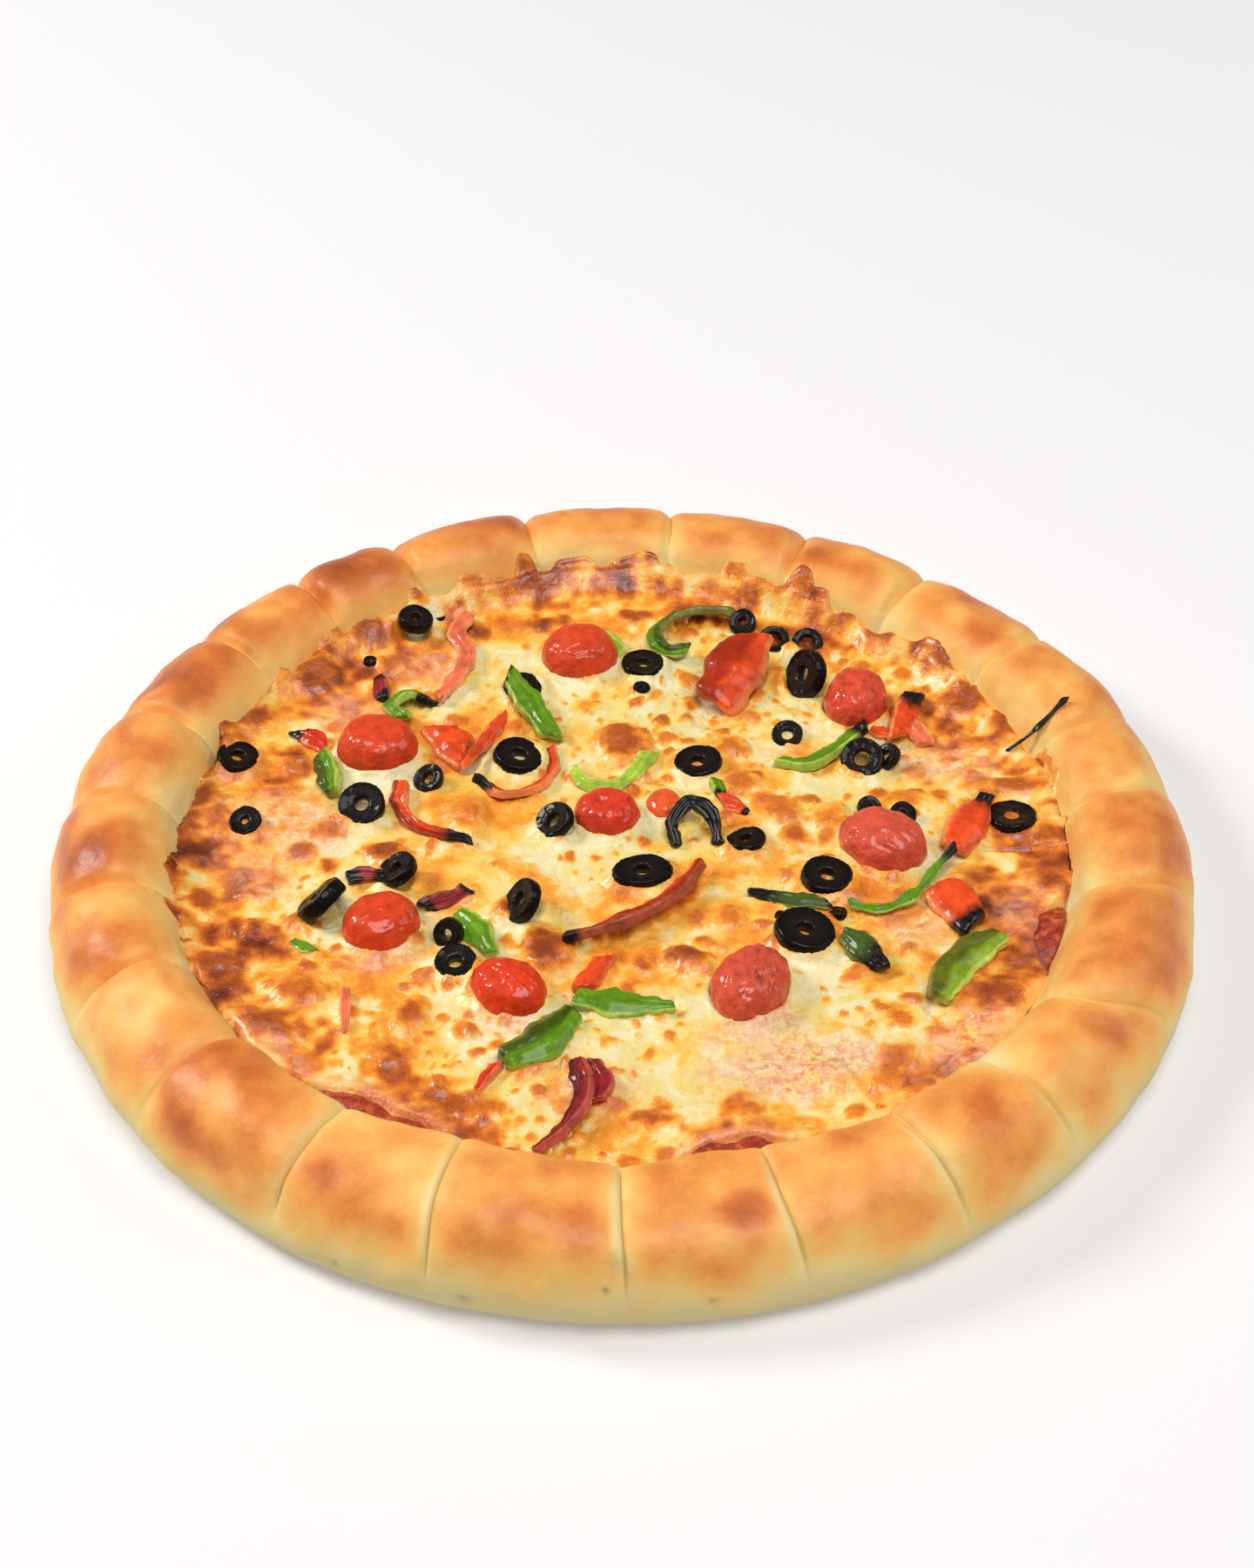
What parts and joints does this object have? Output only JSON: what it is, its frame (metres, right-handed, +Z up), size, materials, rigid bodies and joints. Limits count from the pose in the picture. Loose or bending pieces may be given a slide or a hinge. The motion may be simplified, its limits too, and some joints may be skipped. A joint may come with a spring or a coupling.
{
  "type": "stuffed crust pizza",
  "caption": "Whole round stuffed crust pizza with a lobed, browned rim, melted cheese, cherry tomato halves, black olive slices and strips of green and red pepper.",
  "frame": {"origin": "middle of the flat underside of the crust", "axes": "+Z up out of the toppings, -Y towards the front, +X to the right seen from the front"},
  "size_m": [0.3497, 0.3483, 0.0339],
  "materials": {
    "baked_dough": "baked bread crust, golden, matte",
    "tomato_sauce": "baked tomato sauce, dull",
    "melted_cheese": "melted cheese, oily sheen, browned blisters",
    "tomato_skin": "roasted tomato skin, wet gloss",
    "black_olive": "black olive, oily gloss",
    "green_pepper": "roasted green pepper, glossy skin",
    "red_pepper": "roasted red pepper, glossy skin"
  },
  "bodies": {
    "root": {"cheese": "melted_cheese", "crust": "baked_dough", "green_pepper_1": "green_pepper", "green_pepper_10": "green_pepper", "green_pepper_11": "green_pepper", "green_pepper_12": "green_pepper", "green_pepper_13": "green_pepper", "green_pepper_2": "green_pepper", "green_pepper_3": "green_pepper", "green_pepper_4": "green_pepper", "green_pepper_5": "green_pepper", "green_pepper_6": "green_pepper", "green_pepper_7": "green_pepper", "green_pepper_8": "green_pepper", "green_pepper_9": "green_pepper", "olive_1": "black_olive", "olive_10": "black_olive", "olive_11": "black_olive", "olive_12": "black_olive", "olive_13": "black_olive", "olive_14": "black_olive", "olive_15": "black_olive", "olive_16": "black_olive", "olive_17": "black_olive", "olive_18": "black_olive", "olive_19": "black_olive", "olive_2": "black_olive", "olive_3": "black_olive", "olive_4": "black_olive", "olive_5": "black_olive", "olive_6": "black_olive", "olive_7": "black_olive", "olive_8": "black_olive", "olive_9": "black_olive", "olive_long": "black_olive", "red_pepper_1": "red_pepper", "red_pepper_10": "red_pepper", "red_pepper_11": "red_pepper", "red_pepper_12": "red_pepper", "red_pepper_13": "red_pepper", "red_pepper_14": "red_pepper", "red_pepper_2": "red_pepper", "red_pepper_3": "red_pepper", "red_pepper_4": "red_pepper", "red_pepper_5": "red_pepper", "red_pepper_6": "red_pepper", "red_pepper_7": "red_pepper", "red_pepper_8": "red_pepper", "red_pepper_9": "red_pepper", "tomato_1": "tomato_skin", "tomato_2": "tomato_skin", "tomato_3": "tomato_skin", "tomato_4": "tomato_skin", "tomato_5": "tomato_skin", "tomato_6": "tomato_skin", "tomato_7": "tomato_skin", "tomato_8": "tomato_skin", "tomato_9": "tomato_skin", "tomato_sauce": "tomato_sauce"}
  },
  "joints": []
}
